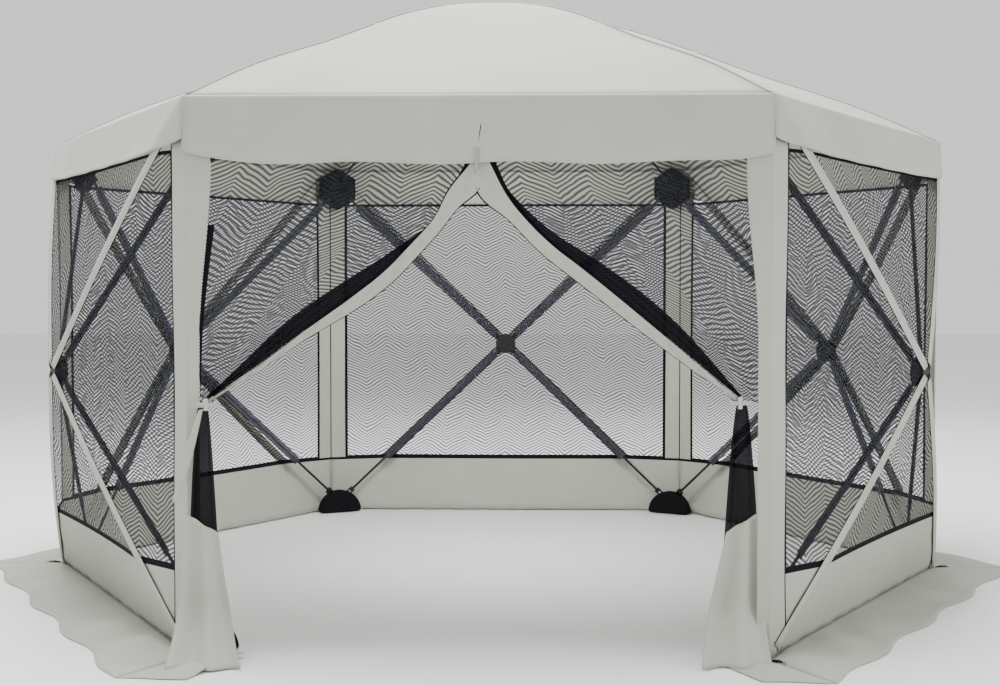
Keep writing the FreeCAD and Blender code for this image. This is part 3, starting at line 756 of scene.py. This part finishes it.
# ---- Ground skirt ----
# A loose apron of the canopy cloth is sewn to the foot of the walls and lies out on the ground
# in shallow waves. It stops at the doorway.
for wall in [*WALLS, DOOR]:
    spans = [(-1, 1)] if wall != DOOR else [(-1, -0.80), (0.80, 1)]
    for number, (low, high) in enumerate(spans):
        rows = []
        for q in spaced(0, 1, 15):
            half = (REACH + 0.30 * q) / 2
            row = []
            for x in spaced(low, high, 81 if wall != DOOR else 15):
                wave = 0.5 + 0.5 * math.sin(x * 15 + wall * 0.7 + 1.4 * math.sin(x * 6 + wall))
                lift = 0.0018 + 0.020 * wave * math.sin(math.pi * min(1, q * 1.15))
                lift = CLOTH + (lift + 0.010 * (1 - q) ** 4) * (1 - abs(x) ** 12)
                scallop = 0.016 * math.sin(x * 13 + wall) * q * (1 - abs(x) ** 12)
                row.append(on_wall(wall, x * half, lift, 0.002 + (0.262 + scallop) * q, False))
            rows.append(row)
        skirt = lay(f"ground_skirt_{wall}_{number}", rows, canopy_cloth, CLOTH)
        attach(skirt, FIXED)
        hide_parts("ground_skirt")

# ---- Stake straps ----
# A short tab of black webbing is sewn flat to the skirt at each corner. Its end narrows, passes
# down through the stake ring and folds back under it.
STRAP = [(1.764, 0.0045, 0.012), (1.774, 0.0058, 0.012), (1.786, 0.0082, 0.0115),
         (1.797, 0.0085, 0.009), (1.804, 0.0085, 0.0060), (1.8090, 0.0072, 0.0045),
         (1.8090, 0.0042, 0.0045), (1.805, 0.0027, 0.0055), (1.796, 0.0026, 0.009),
         (1.782, 0.0026, 0.0115), (1.768, 0.0028, 0.012)]
for i in range(6):
    outward = ray(60 * i)
    sideways = ray(60 * i + 90)
    rows = []
    for s in spaced(0, 1, 40):
        out, z, half = path_point(STRAP, s)
        rows.append([outward * out + UP * z + sideways * half * q
                     for q in (-1, -0.9, -0.4, 0, 0.4, 0.9, 1)])
    tab = lay(f"stake_strap_{i + 1}", rows, webbing, 0.0009)
    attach(tab, FIXED)
    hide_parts("stake_straps")

# ---- Hubs, pins, poles, rings and zip ----
# The corner, wall and roof hubs are moulded black nylon, the poles are wound fibreglass, and the
# hinge pins, stake rings and zip are metal. These keep the shapes they were drawn with.
nylon = grained("hub_nylon", (0.007, 0.007, 0.008), (0.004, 0.004, 0.005), 0.5, 600, 0.3,
                Specular_IOR_Level=0.22)
fibreglass = grained("pole_fibreglass", (0.007, 0.007, 0.009), (0.004, 0.004, 0.005), 0.4, 240,
                     0.15, Specular_IOR_Level=0.3)
bright = grained("bright_steel", (0.62, 0.62, 0.63), (0.52, 0.52, 0.54), 0.3, 900, 0.1,
                 Metallic=1.0)
zinc = grained("zip_metal", (0.36, 0.36, 0.38), (0.28, 0.28, 0.30), 0.35, 700, 0.1, Metallic=1.0)
KEPT = [("upper_hubs", nylon), ("lower_hubs", nylon), ("roof_hub", nylon), ("wall_hub", nylon),
        ("roof_pole", fibreglass), ("wall_pole", fibreglass), ("hub_pins", bright),
        ("stake_rings", bright), ("zip_slider", zinc), ("zip_pull", zinc)]
for name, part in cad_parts.items():
    for stem, finish in KEPT:
        if name.startswith(stem):
            part.data.materials.clear()
            part.data.materials.append(finish)
            break

# ---- Studio ----
# A plain pale floor, a large soft key light over the roof, softer lights in front, behind, at the
# right and inside the house, and the camera in front of the door.
bpy.ops.mesh.primitive_plane_add(size=60, location=(0, 0, -0.001))
ground = bpy.context.object
ground.name = "studio_floor"
ground.data.materials.append(paint("studio_floor", (0.86, 0.86, 0.86), 0.9))
ground.select_set(False)

world = bpy.data.worlds.new("studio")
world.use_nodes = True
world.node_tree.nodes["Background"].inputs["Color"].default_value = (1, 1, 1, 1)
world.node_tree.nodes["Background"].inputs["Strength"].default_value = 1.0
bpy.context.scene.world = world


def lamp(name, place, aim, size, power):
    light = bpy.data.lights.new(name, "AREA")
    light.shape, light.size, light.energy = "DISK", size, power
    holder = bpy.data.objects.new(name, light)
    holder.location = place
    holder.rotation_euler = (Vector(aim) - Vector(place)).to_track_quat("-Z", "Y").to_euler()
    bpy.context.scene.collection.objects.link(holder)


lamp("key", (-1.0, -0.5, 6.5), (0, 0, 1.0), 5.0, 900)
lamp("fill", (0.6, -6.5, 2.2), (0, 1.2, 0.7), 2.0, 20)
lamp("back", (1, 6, 5), (0, 0, 1.2), 4.0, 160)
lamp("side", (5.0, -3.2, 1.6), (1.2, -0.8, 0.4), 2.5, 70)
lamp("inside", (0, -0.3, 1.7), (0, 1.4, 0.4), 0.6, 45)
bpy.data.objects["inside"].visible_camera = False

camera = bpy.data.cameras.new("camera")
camera.lens = 54.1
camera.sensor_width = 36
holder = bpy.data.objects.new("camera", camera)
holder.location = (0.204, -6.01, 1.12)
holder.rotation_euler = (math.radians(90 - 2.13), 0, math.radians(1.73))
bpy.context.scene.collection.objects.link(holder)
bpy.context.scene.camera = holder
